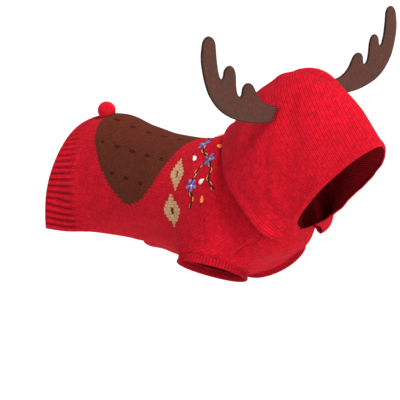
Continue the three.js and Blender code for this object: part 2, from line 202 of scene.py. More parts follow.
def body_point(place, angle):
    """A ring's point, drawn along the nearer leg to the plane in which its band is sewn on."""
    points = ring_point(BODY_RINGS, place, angle)
    pulls = []
    for side in (1, -1):
        along, radius = leg_place(side, points)
        beside = 1 - smoothstep(radius, LEG_RADIUS, LEG_RADIUS + LEG_REACH)
        level = 1 - smoothstep(np.abs(along), LEG_HEIGHT / 2, LEG_HEIGHT)
        pulls.append((leg(side)[0], along, beside * level))
    strongest = np.maximum(pulls[0][2], pulls[1][2])
    total = sum(strength**LEG_CONTRAST for _, _, strength in pulls)
    for axis, along, strength in pulls:
        share = strongest * strength**LEG_CONTRAST / np.maximum(total, 1e-30)
        points = points - (along * share)[..., None] * axis
    return points


def hood_point(place, angle):
    return ring_point(HOOD_RINGS, place, angle)


ANGLES = np.radians(np.arange(45, 180, 0.05))  # round the left flank and belly


def leg_radius(place):
    """How far the left flank and belly are from the leg's axis at a place."""
    return leg_place(1, ring_point(BODY_RINGS, place, ANGLES))[1]


def bisect(low, high, is_low):
    """The number between low and high at which a test stops being true."""
    for _ in range(40):
        middle = (low + high) / 2
        low, high = (middle, high) if is_low(middle) else (low, middle)
    return (low + high) / 2


HOLE_REAR = bisect(BELLY_RING, LEG_RING, lambda place: leg_radius(place).min() > LEG_RADIUS)
HOLE_FRONT = bisect(LEG_RING, NECK_RING, lambda place: leg_radius(place).min() < LEG_RADIUS)


def seam_angle(place):
    """The angle at which the back and chest panels meet, bent to both ends of the leg hole."""
    seam = math.radians(column(BODY_RINGS, EDGE, place))
    for end, ease in ((HOLE_REAR, REAR_EASE), (HOLE_FRONT, FRONT_EASE)):
        meeting = ANGLES[leg_radius(end).argmin()]
        near = 1 - smoothstep(abs(place - end), 0, ease)
        seam += (meeting - math.radians(column(BODY_RINGS, EDGE, end))) * near
    return seam


def panel_edges(place):
    """The angles at which the back panel ends and the chest panel starts."""
    if HOLE_REAR < place < HOLE_FRONT:
        radius = leg_radius(place)
        nearest = radius.argmin()
        outer = np.interp(-LEG_RADIUS, -radius[:nearest + 1], ANGLES[:nearest + 1])
        return outer, np.interp(LEG_RADIUS, radius[nearest:], ANGLES[nearest:])
    return seam_angle(place), seam_angle(place)


def neck_seam(angle):
    """The line on which the hood is sewn to the body."""
    return (body_point(NECK_RING, angle) + hood_point(0.0, angle)) / 2


# ---- Grids ----

def with_lips(low, high, length, step=CLOTH_STEP, ends=("round", "round")):
    """Values from low to high that stand for a length, closer together at its ends.

    An end is round, flat where the cloth goes on in another piece, or open inside a piece.
    """
    lips = [{"round": ROUND_LIP, "flat": FLAT_LIP, "open": [0.0]}[end] for end in ends]
    count = max(2, round(length / step))
    shares = [k / count for k in range(1, count)
              if lips[0][-1] * 1.5 < k * length / count < length - lips[1][-1] * 1.5]
    shares = ([d / length for d in lips[0]] + shares
              + [1 - d / length for d in reversed(lips[1])])
    return low + (high - low) * np.array(shares)


def body_places(start, rear_end):
    """Places from one on the body to the neck, closer at both ends of the leg hole."""
    rear = with_lips(start, HOLE_REAR, REAR_SPAN * (HOLE_REAR - start), ends=(rear_end, "open"))
    turn = np.pi * np.arange(1, HOLE_ROWS) / HOLE_ROWS
    hole = HOLE_REAR + (HOLE_FRONT - HOLE_REAR) * (1 - np.cos(turn)) / 2
    front = with_lips(HOLE_FRONT, NECK_RING, FRONT_SPAN * (NECK_RING - HOLE_FRONT),
                      ends=("open", "round"))
    return np.concatenate([rear, hole, front])


def back_grid(places, shares):
    """Places and angles of the back panel or the hem band, at shares from -1, right, to 1."""
    angles = []
    for place in places:
        seam, (back, _) = seam_angle(place), panel_edges(place)
        low = smoothstep(np.abs(shares), FLANK_TOP, 1)
        angles.append(shares * seam - np.sign(shares) * (seam - back) * low)
    return places[:, None], np.array(angles)


def chest_grid(places, shares):
    """Places and angles of the chest panel, at shares from 0, left, to 1."""
    starts = np.array([panel_edges(place)[1] for place in places])[:, None]
    return places[:, None], starts + (2 * np.pi - 2 * starts) * shares


def normals_of(points, closed=False):
    """Outward normals of a grid whose rows go forward and whose columns go to the left."""
    along = np.gradient(points, axis=0)
    if closed:
        round_it = (np.roll(points, -1, 1) - np.roll(points, 1, 1)) / 2
    else:
        round_it = np.gradient(points, axis=1)
    return unit(np.cross(along, round_it))


def run(points, axis):
    """Length run along a grid's lines, from its first point."""
    steps = norm(np.diff(points, axis=axis), axis=-1)
    first = np.zeros_like(np.take(steps, [0], axis=axis))
    return np.cumsum(np.concatenate([first, steps], axis=axis), axis=axis)


def from_edges(points, closed=False):
    """Distances from a grid's rear and front rows and first and last columns."""
    rear = run(points, 0)
    front = rear[-1:] - rear
    if closed:
        far = np.full_like(rear, FAR)
        return rear, front, far, far
    first = run(points, 1)
    return rear, front, first, first[:, -1:] - first


def pairs(grid):
    """Later and earlier neighbours, across a grid and along it."""
    return (grid[:, 1:], grid[:, :-1]), (grid[1:], grid[:-1])


def steps_of(grid):
    return [later - earlier for later, earlier in pairs(grid)]


def means_of(grid):
    return [(later + earlier) / 2 for later, earlier in pairs(grid)]


def lay_knit(points, wales, normals, rounds=260):
    """Wale and course numbers over a cloth, from the way that its wales run at every point.

    Their steps from point to point come closest to the knit's gauge, by conjugate gradients.
    """
    wales = unit(wales - (wales * normals).sum(-1, keepdims=True) * normals)
    across = np.cross(normals, wales)
    legs = steps_of(points)
    spans = [norm(np.gradient(points, axis=k), axis=-1) for k in (0, 1)]
    weights = [means_of(spans[k])[k] / np.maximum(norm(legs[k], axis=-1), 1e-6)
               for k in (0, 1)]

    def gather(flows, sign=-1):
        total = np.zeros(points.shape[:2])
        for (later, earlier), flow in zip(pairs(total), flows):
            later += flow
            earlier += sign * flow
        return total

    weight = gather(weights, 1)
    middle = points.shape[1] // 2
    found = []
    for way, gauge in ((across, WALE), (wales, COURSE)):
        goals = [(leg * mean).sum(-1) / gauge for leg, mean in zip(legs, means_of(way))]
        number = np.zeros(points.shape[:2])
        number[:, 1:] = np.cumsum(goals[0], axis=1)
        number -= number[:, [middle]]
        number[1:] += np.cumsum(goals[1][:, middle])[:, None]
        rest = gather([w * (goal - now) for w, goal, now in zip(weights, goals, steps_of(number))])
        step = ease = rest / weight
        size = (rest * ease).sum()
        for _ in range(rounds):
            pull = gather([w * now for w, now in zip(weights, steps_of(step))])
            share = size / max((step * pull).sum(), 1e-12)
            number = number + share * step
            rest = rest - share * pull
            ease = rest / weight
            size, before = (rest * ease).sum(), size
            step = ease + step * size / max(before, 1e-12)
        found.append(number)
    return found


SWELLS = 9  # waves in the unevenness
FOLD_STEPS = 33  # points along a crease


def unevenness(points, size, amount, seed):
    """Slow swells of about a size, so that no surface is ruled."""
    waves = np.random.default_rng(seed)
    swell = np.zeros(points.shape[:-1])
    for _ in range(SWELLS):
        way = waves.normal(size=3)
        way *= 2 * np.pi / (size * waves.uniform(0.7, 1.6) * norm(way))
        swell += np.sin(points @ way + waves.uniform(0, 2 * np.pi))
    return swell * amount / 3


def creases(surface, table, points):
    """Lift along the normal for listed creases.

    A crease's row is its two ends, as place and angle in degrees, its depth, its half width and
    its bow in degrees. A negative depth is a ridge.
    """
    lift = np.zeros(points.shape[:-1])
    for place, angle, to_place, to_angle, depth, width, bow in table:
        t = np.linspace(0, 1, FOLD_STEPS)
        path = surface(place + (to_place - place) * t,
                       np.radians(angle + (to_angle - angle) * t + bow * np.sin(np.pi * t)))
        best = np.full(lift.shape, 1e9)
        where = np.zeros(lift.shape)
        for share, point in zip(t, path):
            away = ((points - point)**2).sum(-1)
            closer = away < best
            best[closer], where[closer] = away[closer], share
        fade = np.sin(np.pi * np.clip(where * 0.92 + 0.04, 0, 1))**0.8
        q = best / width**2  # a low shoulder rises on both sides
        lift -= depth * fade * (1 - 0.55 * q) * np.exp(-q / 1.3)
    return lift


# ---- Meshes ----

def link(made):
    bpy.context.scene.collection.objects.link(made)
    return made


def new_object(name, vertices, faces, material, uv=None):
    """A mesh object in metres, from millimetres."""
    mesh = bpy.data.meshes.new(name)
    mesh.from_pydata((np.asarray(vertices) * MM).tolist(), [], faces)
    if uv is not None:
        corners = [corner for face in faces for corner in face]
        layer = mesh.uv_layers.new(name="knit")
        layer.data.foreach_set("uv", np.asarray(uv, np.float32)[corners].ravel())
    mesh.polygons.foreach_set("use_smooth", [True] * len(mesh.polygons))
    mesh.materials.append(material)
    return link(bpy.data.objects.new(name, mesh))


def quads(index, closed=False, under=False):
    """The faces of a grid of vertex numbers. Those of an under side are turned over."""
    if closed:
        index = np.concatenate([index, index[:, :1]], 1)
    corners = [index[:-1, :-1], index[1:, :-1], index[1:, 1:], index[:-1, 1:]]
    return np.stack([corners[k] for k in ((0, 3, 2, 1) if under else range(4))], -1).reshape(-1, 4)


def shell(name, points, thickness, materials, numbers, lift=0, relief=0, closed=False,
          flat_rear=False, flat_front=False):
    """A closed cloth wall round a grid of points of its middle surface, and its outer points.

    lift moves the whole wall and relief its outer face. The materials are the outer and the
    inner face's. A flat end keeps its thickness. The wale and course numbers are the UV map.
    """
    normals = normals_of(points, closed)
    points = points + normals * np.broadcast_to(lift, points.shape[:2])[..., None]
    normals = normals_of(points, closed)
    rear, front, first, last = from_edges(points, closed)
    away = np.minimum.reduce([rear * (FAR if flat_rear else 1), front * (FAR if flat_front else 1),
                              first, last])
    inset = np.clip(away / (thickness * EDGE_ROUNDING), 0, 1)
    half = thickness / 2 * np.sqrt(1 - (1 - inset)**2)
    full = half / (thickness / 2)
    outer = points + normals * (half + relief * full)[..., None]
    inner = points - normals * half[..., None]
    rows, columns = points.shape[:2]
    index = np.arange(rows * columns).reshape(rows, columns)
    rim = np.zeros((rows, columns), bool)
    rim[[0, -1]] = True
    if not closed:
        rim[:, [0, -1]] = True
    below = np.where(rim, index, index + rows * columns)
    faces = np.concatenate([quads(index, closed), quads(below, closed, under=True)])
    vertices = np.concatenate([outer.reshape(-1, 3), inner.reshape(-1, 3)])
    uv = np.stack([np.broadcast_to(n, points.shape[:2]).ravel() for n in numbers], -1)
    uv = np.concatenate([uv, uv])
    used, faces = np.unique(faces, return_inverse=True)
    faces = faces.reshape(-1, 4).tolist()
    made = new_object(name, vertices[used], faces, materials[0], uv[used])
    made.data.materials.append(materials[1])
    inside = np.arange(len(faces)) >= len(faces) // 2
    made.data.polygons.foreach_set("material_index", inside.astype(np.int32))
    return made, outer


CURVE_STEPS = 25


def between(a, b, low, high, t):
    """a where t is low, b where it is high."""
    return ((high - t) * a + (t - low) * b) / (high - low)


def at_lengths(corners, lengths):
    """Points at some lengths along a line through corners."""
    so_far = run(corners[:, None], 0)[:, 0]
    return np.stack([np.interp(lengths, so_far, numbers) for numbers in corners.T], -1)


def full_length(corners):
    return run(corners[:, None], 0)[-1, 0]


def smooth_outline(corners, count):
    """Even points on a centripetal Catmull-Rom curve through corners."""
    p = extended(corners)
    fine = []
    for a, b, c, d in zip(p, p[1:], p[2:], p[3:]):
        k = np.cumsum([0] + [norm(y - x)**0.5 for x, y in ((a, b), (b, c), (c, d))])
        for t in np.linspace(k[1], k[2], CURVE_STEPS)[:-1]:
            ab, bc, cd = (between(x, y, k[i], k[i + 1], t)
                          for i, (x, y) in enumerate(((a, b), (b, c), (c, d))))
            abc, bcd = between(ab, bc, k[0], k[2], t), between(bc, cd, k[1], k[3], t)
            fine.append(between(abc, bcd, k[1], k[2], t))
    fine = np.array(fine + [corners[-1]])
    return at_lengths(fine, np.linspace(0, full_length(fine), count))


def tree_of(grid):
    """A grid's surface, for nearest()."""
    faces = quads(np.arange(grid.size // 3).reshape(grid.shape[:2]))
    return BVHTree.FromPolygons(grid.reshape(-1, 3).tolist(), faces.tolist())


def nearest(tree, point):
    """The nearest point of a surface, its normal and its distance."""
    near, normal, _, distance = tree.find_nearest(Vector(point))
    return np.array(near), np.array(normal), distance


END_TAPER = 0.35  # share of a thread's radius at its ends


def tube(path, radius, sides=6, taper=END_TAPER):
    """Vertices and faces of a thread. It may have a radius for each point."""
    path = np.asarray(path, float)
    ways = unit(np.gradient(path, axis=0))
    side = np.cross(ways[0], [0.3, 0.5, 0.8])
    radii = np.broadcast_to(radius, len(path)).astype(float)
    radii[[0, -1]] *= taper
    turn = np.arange(sides) * 2 * np.pi / sides
    vertices = []
    for point, way, r in zip(path, ways, radii):
        side = unit(side - way * (side @ way))
        other = np.cross(way, side)
        vertices.append(point + r * (np.cos(turn)[:, None] * side + np.sin(turn)[:, None] * other))
    index = np.arange(len(path) * sides).reshape(-1, sides)
    ends = [index[0, ::-1].tolist(), index[-1].tolist()]
    return np.concatenate(vertices), quads(index, closed=True, under=True).tolist() + ends


class Bundle:
    """Many small meshes gathered into one."""

    def __init__(self):
        self.vertices, self.faces, self.count = [], [], 0

    def add(self, vertices, faces):
        self.vertices.append(vertices)
        self.faces += [[corner + self.count for corner in face] for face in faces]
        self.count += len(vertices)

    def object(self, name, material):
        return new_object(name, np.concatenate(self.vertices), self.faces, material)


# ---- Materials ----

def feed(socket, value):
    """Link a value to a node's input, or set it there."""
    value = getattr(value, "socket", value)
    if isinstance(value, bpy.types.NodeSocket):
        socket.id_data.links.new(value, socket)
    else:
        socket.default_value = value


class Value:
    """A number in a shader. Sums on it add Math nodes."""

    def __init__(self, socket):
        self.socket = socket

    def sum(self, operation, *others, clamp=False):
        node = self.socket.id_data.nodes.new("ShaderNodeMath")
        node.operation, node.use_clamp = operation, clamp
        for socket, value in zip(node.inputs, (self, *others)):
            feed(socket, value)
        return Value(node.outputs[0])

    def __rsub__(self, other):
        return self * -1 + other

    def wave(self):
        return (self * (2 * math.pi)).sum("COSINE")

    def held(self):
        return self.sum("ADD", 0.0, clamp=True)


for name, operation in {"__add__": "ADD", "__sub__": "SUBTRACT", "__mul__": "MULTIPLY",
                        "__truediv__": "DIVIDE", "__pow__": "POWER", "under": "LESS_THAN",
                        "size": "ABSOLUTE", "floor": "FLOOR", "part": "FRACT"}.items():
    setattr(Value, name, partialmethod(Value.sum, operation))


class Finish:
    """A material and the means to build it."""

    def __init__(self, name, **settings):
        self.material = bpy.data.materials.new(name)
        self.material.use_nodes = True
        self.tree = self.material.node_tree
        self.shader = self.tree.nodes["Principled BSDF"]
        for name, value in settings.items():
            feed(self.shader.inputs[name.replace("_", " ")], value)

    def node(self, kind, **inputs):
        node = self.tree.nodes.new("ShaderNode" + kind)
        for name, value in inputs.items():
            feed(node.inputs[name.replace("_", " ")], value)
        return node

    def stitches(self):
        """The wale and course numbers."""
        uv = self.node("UVMap")
        uv.uv_map = "knit"
        split = self.node("SeparateXYZ", Vector=uv.outputs[0])
        return Value(split.outputs[0]), Value(split.outputs[1])

    def noise(self, scale, detail=2.0, roughness=0.5):
        """Noise from 0 to 1, by metres in the object's space."""
        place = self.node("TexCoord").outputs["Object"]
        node = self.node("TexNoise", Vector=place, Scale=scale, Detail=detail, Roughness=roughness)
        return Value(node.outputs[0])

    def chance(self, first, second):
        """A random number from 0 to 1 for each pair of whole numbers."""
        pair = self.node("CombineXYZ", X=first, Y=second)
        return Value(self.node("TexWhiteNoise", Vector=pair.outputs[0]).outputs[0])

    def mix(self, share, first, second):
        node = self.node("Mix")
        node.data_type = "RGBA"
        sockets = [s for s in node.inputs if s.type == "RGBA"]
        feed(node.inputs[0], share)
        for socket, value in zip(sockets, (first, second)):
            feed(socket, (*value, 1) if isinstance(value, tuple) else value)
        return [s for s in node.outputs if s.type == "RGBA"][0]

    def shade(self, colour, strength):
        """A colour times a number."""
        node = self.node("VectorMath")
        node.operation = "SCALE"
        feed(node.inputs[0], colour)
        feed(node.inputs["Scale"], strength)
        return node.outputs[0]

    def colour(self, socket):
        feed(self.shader.inputs["Base Color"], socket)

    def relief(self, *layers):
        """Bumps, each a height from 0 to 1 and its depth."""
        normal = None
        for height, depth in layers:
            bump = self.node("Bump", Height=height, Distance=depth * MM, Strength=1.0)
            if normal is not None:
                feed(bump.inputs["Normal"], normal)
            normal = bump.outputs[0]
        feed(self.shader.inputs["Normal"], normal)


RED = (0.56, 0.0062, 0.0185)
DARK_RED = (0.20, 0.003, 0.008)
BROWN = (0.100, 0.023, 0.011)
DARK_BROWN = (0.030, 0.008, 0.006)
BEIGE = (0.60, 0.36, 0.19)
GOLD = (0.62, 0.38, 0.12)
LAVENDER = (0.15, 0.16, 0.46)
ORANGE = (0.92, 0.27, 0.08)
CREAM = (0.92, 0.74, 0.64)
INSIDE_RED = (0.42, 0.0045, 0.013)
POMPOM_RED = (0.60, 0.0070, 0.021)
FELT_TONES = (0.048, 0.024, 0.016), (0.069, 0.022, 0.017)

SLANT = 0.62  # how far a stitch's leg climbs, in courses
FIBRES = (1400, 4, 0.65)  # scale, detail and roughness of their noise


def knit_heights(finish):
    """The height of stocking stitch, and each stitch's wale and course."""
    u, v = finish.stitches()
    aside = (u.part() - 0.5).size() * 2  # 0 up a wale's middle, 1 between wales
    climb = v + aside * SLANT
    strand = climb.wave() * 0.5 + 0.5
    valley = 1 - aside**5.0 * 0.75  # narrow and deep between wales
    middle = 1 - (1 - aside)**5.0  # a thin line where the two legs meet
    bow = (aside * math.pi).sum("SINE")
    height = valley * (middle * 0.22 + 0.40) + bow * strand * 0.42
    return height.held(), u.floor() + 0.5, climb.floor() + 0.5


def knit_finish(name):
    """Matte yarn with a faint red sheen, still without its pattern."""
    return Finish(name, Roughness=0.92, Specular_IOR_Level=0.05, Sheen_Weight=0.12,
                  Sheen_Roughness=0.45, Sheen_Tint=(1.0, 0.10, 0.13, 1.0))


def knit_material(name, design=None, rib=None):
    """Stocking stitch. design gives each stitch its colour, and rib paints shade into the furrows
    between ribs.
    """
    finish = knit_finish(name)
    height, wale, course = knit_heights(finish)
    ground = design(finish, wale, course) if design else RED
    fibres = finish.noise(*FIBRES)
    painted_shade_depth = finish.noise(230, 3, 0.6)
    cloudy = finish.noise(26, 3)
    each = finish.chance(wale, course)
    # Painted shade: low stitch heights, between wales, where a stitch's legs meet and between
    # courses, are darkened, more where painted_shade_depth is high. fibres, cloudy and each vary
    # the tone at random.
    shade = ((height * (painted_shade_depth * 0.9 + 0.22) + 0.45) * (fibres * 0.34 + 0.83)
             * (cloudy * 0.26 + 0.87) * (each * 0.26 + 0.87))
    if rib:
        shade = shade * rib(finish)
    finish.colour(finish.shade(ground, shade))
    finish.relief((height, 0.8), (fibres, 0.3))
    return finish.material


def reverse_material(name):
    """The back of stocking stitch: rows of small bumps."""
    finish = knit_finish(name)
    u, v = finish.stitches()
    step = (u * 2).floor() * 0.5
    height = ((v + step).wave() * 0.5 + 0.5) * ((u * 2).wave() * -0.3 + 0.7)
    fibres = finish.noise(*FIBRES)
    # Painted shade: the colour is darker between the bumps, where the height is low. fibres vary
    # the tone at random.
    finish.colour(finish.shade(INSIDE_RED, (height * 0.7 + 0.42) * (fibres * 0.34 + 0.80)))
    finish.relief((height, 0.9), (fibres, 0.25))
    return finish.material


def furrows(depth, fade=None):
    """A function that paints shade into the furrows between ribs. With fade, in wales, the painted
    shade ends at the spine and the panel.
    """
    def shade(finish):
        u, v = finish.stitches()
        ridge = ((u - 1.5) / 2).wave() * 0.5 + 0.5
        painted_furrow_shade = (1 - ridge**0.4) * depth
        if not fade:
            return 1 - painted_furrow_shade
        share = (((u - 0.5).size() - fade[0]) / (fade[1] - fade[0])).held() * 0.75 + 0.25
        return 1 - painted_furrow_shade * share * (v / -6 - 0.2).held()
    return shade


# The back's generic design, in wales from the spine and courses from mid back
MEDALLION = (31, 35, 6)  # half width, half length and shift to the rear
SQUARENESS = 1.6  # 1 is a lozenge and 2 an ellipse
DOT_PITCH = (9, 12)
LOZENGES = [(18, 31.5, 5.2, 5.0), (29, 28, 5.2, 7.0)]  # beige: middles and half sizes


def back_design(finish, wale, course):
    """A brown medallion over the back and two small beige lozenges on each flank."""
    wide, long, behind = MEDALLION
    aside, ahead = wale.size(), (course + behind).size()
    field = (aside / wide)**SQUARENESS + (ahead / long)**SQUARENESS
    off = [((number / pitch).part() - 0.5).size() * 9
           for number, pitch in zip((aside, course), DOT_PITCH)]
    dots = (off[0] + off[1]).under(1.3)
    ground = finish.mix(field.under(1.0), RED, BROWN)
    ground = finish.mix(dots * field.under(0.8), ground, DARK_BROWN)
    for across, along, high, broad in LOZENGES:
        reach = (aside - across).size() / high + (course - along).size() / broad
        ground = finish.mix(reach.under(1.0), ground, BEIGE)
        ground = finish.mix(reach.under(0.2), ground, BROWN)
    return ground


def felt_material():
    """Wool felt, darker at its cut edge. The UV map's first number is the inset."""
    finish = Finish("brown_felt", Roughness=0.97, Specular_IOR_Level=0.05, Sheen_Weight=0.12,
                    Sheen_Roughness=0.6, Sheen_Tint=(0.8, 0.5, 0.42, 1.0))
    inset, _ = finish.stitches()
    matted = finish.noise(300, 6, 0.75)
    strands = finish.noise(1100, 3, 0.7)
    ruddy = finish.noise(90, 3)
    rim = ((inset - 0.3) / 1.3).held() * 0.66 + 0.34
    shade = (matted * 1.6 + 0.20) * (strands * 0.8 + 0.60) * rim
    tone = finish.mix((ruddy * 2.4 - 0.7).held(), *FELT_TONES)
    finish.colour(finish.shade(tone, shade))
    finish.relief((matted, 0.6), (strands, 0.25))
    return finish.material


def yarn_material(name, colour, roughness=0.85):
    """Loose yarn or thread in one colour."""
    finish = Finish(name, Roughness=roughness, Specular_IOR_Level=0.12, Sheen_Weight=0.08,
                    Sheen_Roughness=0.5, Sheen_Tint=(*colour, 1.0))
    fibres = finish.noise(2200, 3)
    finish.colour(finish.shade(colour, fibres * 0.5 + 0.75))
    finish.relief((fibres, 0.2))
    return finish.material


GIRTH = 330.0  # of the back panel and the hem band, from edge to edge
HEM_RIBS = round(GIRTH / RIB_PITCH)
KNIT_RED = knit_material("red_knit")
BACK_KNIT = knit_material("back_knit", back_design)
# The hem and the leg bands get painted shade in the furrows between their ribs.
HEM_KNIT = knit_material("hem_knit", rib=furrows(0.8, (HEM_RIBS * 0.12, HEM_RIBS * 0.6)))
BAND_KNIT = knit_material("band_knit", rib=furrows(0.5))
INSIDE = reverse_material("inside_knit")
FELT_FINISH = felt_material()
POMPOM_YARN = yarn_material("pompom_yarn", POMPOM_RED)
THREADS = {name: yarn_material(f"{name}_thread", colour, 0.6) for name, colour in (
    ("dark", DARK_BROWN), ("lavender", LAVENDER), ("orange", ORANGE), ("cream", CREAM),
    ("gold", GOLD), ("red", DARK_RED))}


def place_piece(piece, node=None):
    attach(piece, "root")
    if node:
        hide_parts(node)


# ---- Body ----

SEAM_BLEND = 9.0  # over which a panel bends to the neck seam
CALM = 14.0  # strip beside a leg hole with no folds
SWELL = (70, 0.7, 1)  # size, amount and seed


def tuck(distance, depth=1.8, width=4.5):
    """Cloth drawn in beside a seam."""
    return -depth * np.clip(1 - distance / width, 0, 1)**2


def to_seam(points, row, angles):
    """Points whose first or last row, at some angles, is drawn to the neck seam."""
    away = from_edges(points)[1 if row else 0]
    gap = neck_seam(angles) - points[row]
    return points + gap[None] * (1 - smoothstep(away, 0, SEAM_BLEND))[..., None]


def panel_points(places, angles):
    return to_seam(body_point(places, angles), -1, angles[-1])


def body_lift(points, places, table):
    """Swells and creases of a body panel, none beside the leg hole and the neck."""
    rear, front, first, last = from_edges(points)
    edge = np.minimum(first, last)
    beside = (smoothstep(places, HOLE_REAR - 0.9, HOLE_REAR)
              * (1 - smoothstep(places, HOLE_FRONT, HOLE_FRONT + 0.6)))[:, None]
    calm = 1 - beside * (1 - smoothstep(edge, 0, CALM))
    lift = creases(body_point, table, points) + unevenness(points, *SWELL)
    return (lift * calm + tuck(edge) * (1 - beside)) * smoothstep(front, 0, 10)


# For what the numbers are, see creases()
BACK_CREASES = [
    (9.9, -34, 8.4, -66, 2.4, 9, 7), (9.8, 28, 8.6, 60, 2.0, 9, -5),
    (10.5, -74, 9.3, -102, 1.8, 8, 5), (10.3, 66, 9.3, 94, 1.8, 9, -6),
    (10.7, -112, 9.6, -124, 1.6, 6, 4), (10.6, 108, 9.5, 122, 1.4, 6, -4),
    (6.2, -104, 4.6, -122, 1.8, 11, -4), (6.1, 106, 4.8, 122, 1.6, 10, 5),
    (4.6, -88, 3.0, -108, 1.2, 13, 3), (4.4, 90, 3.0, 108, 1.4, 12, -3),
    (7.8, -56, 6.2, -88, 1.0, 12, 5), (7.4, 58, 6.4, 86, 1.2, 11, -4),
    (2.9, -70, 2.2, -100, -1.2, 10, 3), (2.8, 72, 2.2, 98, -1.0, 10, -3),
]
CHEST_CREASES = [
    (10.4, 160, 9.4, 172, 2.0, 8, 4), (10.3, 202, 9.2, 190, 1.8, 9, -4),
    (9.5, 146, 8.9, 158, 1.0, 7, 3), (6.6, 164, 5.8, 174, 0.8, 12, 3),
    (6.3, 200, 5.6, 188, 0.7, 12, -3),
]

places = body_places(HEM_RING, "flat")
points = panel_points(*back_grid(places, with_lips(-1, 1, GIRTH)))
rise = smoothstep(points[..., 0], 40, 230) * 0.9  # the wales climb to the neck
wales = np.stack([np.ones_like(rise), np.zeros_like(rise), rise], -1)
numbers = lay_knit(points, wales, normals_of(points))
spine = points.shape[1] // 2
numbers[1] = numbers[1] - np.interp(5.0, places, numbers[1][:, spine])  # 0 is mid back
back, back_outer = shell("back_cloth", points, KNIT, (BACK_KNIT, INSIDE), numbers,
                         body_lift(points, places, BACK_CREASES), flat_rear=True)
place_piece(back, "back_panel")
back_numbers = numbers

chest_places = body_places(BELLY_RING, "round")
points = panel_points(*chest_grid(chest_places, with_lips(0, 1, 110)))
numbers = lay_knit(points, np.gradient(points, axis=0), normals_of(points))
chest, chest_outer = shell("chest_cloth", points, KNIT, (KNIT_RED, INSIDE), numbers,
                           body_lift(points, chest_places, CHEST_CREASES))
place_piece(chest, "chest_panel")

# ---- Ribbed bands ----
HEM_LENGTH = 52.0  # from the hem's edge to the panel
HEM_STEPS, BAND_STEPS = 7, 7  # columns of the mesh to a rib
HEM_RIB, BAND_RIB = 1.3, 0.95  # height of a rib over its furrow
# A leg band's way out and down, from the panel's face over the hole's edge
BAND_PROFILE = np.array([[3.0, 0.9], [1.9, 1.4], [1.3, 2.2], [1.0, 3.4], [1.1, 5.0], [1.5, 7.0],
                         [LEG_SPREAD + 1.2, LEG_BAND]])
BAND_SEAT = 3.2  # over which a leg band comes down to the cloth

hem_shares = with_lips(-1, 1, GIRTH, RIB_PITCH / HEM_STEPS)
hem_places = with_lips(0, HEM_RING, HEM_LENGTH, 1.6, ("round", "flat"))
points = body_point(*back_grid(hem_places, hem_shares))
rear, front, first, last = from_edges(points)
ribbing = hem_shares * HEM_RIBS / 2
ridge = np.abs(np.sin(np.pi * ribbing))**0.6
fullness = 0.25 + 0.75 * smoothstep(np.abs(hem_shares), 0.1, 0.6)
relief = HEM_RIB * (ridge - 0.75) * fullness * smoothstep(rear, -2, 3) * smoothstep(front, 0, 15)
numbers = [(ribbing * 2 + 0.5)[None], -front / COURSE]
width = RIB + (KNIT - RIB) * (1 - smoothstep(front, 0, SEAM_BLEND))
hem, _ = shell("hem_band", points, width, (HEM_KNIT, HEM_KNIT), numbers,
               unevenness(points, *SWELL) + tuck(np.minimum(first, last), 0.6), relief,
               flat_front=True)
place_piece(hem, "hem_rib")

back_tree, chest_tree = tree_of(back_outer), tree_of(chest_outer)
for name, side in SIDES:
    axis, top = leg(side)
    outward = unit(np.array([0, side, 0]) - side * axis[1] * axis)
    forward = np.cross(outward, axis)
    columns = round(2 * np.pi * LEG_RADIUS / BAND_PITCH) * BAND_STEPS
    turns = -side * np.arange(columns) * 2 * np.pi / columns
    length = full_length(BAND_PROFILE)
    drops = with_lips(0, length, length, 0.8)
    out, down = at_lengths(BAND_PROFILE, drops).T[..., None, None]
    ring = (np.cos(turns)[:, None] * outward + np.sin(turns)[:, None] * forward)[None]
    points = top + down * axis + ring * (LEG_RADIUS + out)
    if (normals_of(points, True) * ring).sum() < 0:
        points = points[:, ::-1]
    for k in range(columns):  # the first rows lie on the cloth round the leg hole
        hits = [nearest(tree, points[0, k]) for tree in (back_tree, chest_tree)]
        miss = min(hits, key=lambda hit: hit[2])[0] - points[0, k]
        points[:, k] += (1 - smoothstep(drops, 0, BAND_SEAT))[:, None] * miss
    rear, front, _, _ = from_edges(points, True)
    ribbing = np.arange(columns) / BAND_STEPS
    ridge = np.abs(np.sin(np.pi * ribbing))**0.7
    relief = BAND_RIB * (ridge - 0.7) * smoothstep(rear, 0, 2.5) * smoothstep(front, -1, 2)
    numbers = [(ribbing * 2 + 0.5)[None], rear / COURSE]
    band, _ = shell(f"leg_band_{name}", points, RIB, (BAND_KNIT, BAND_KNIT), numbers,
                    unevenness(points, 30, 0.35, 20 + side) * smoothstep(rear, 1, 5), relief,
                    closed=True)
    place_piece(band, f"leg_rib_{name}")

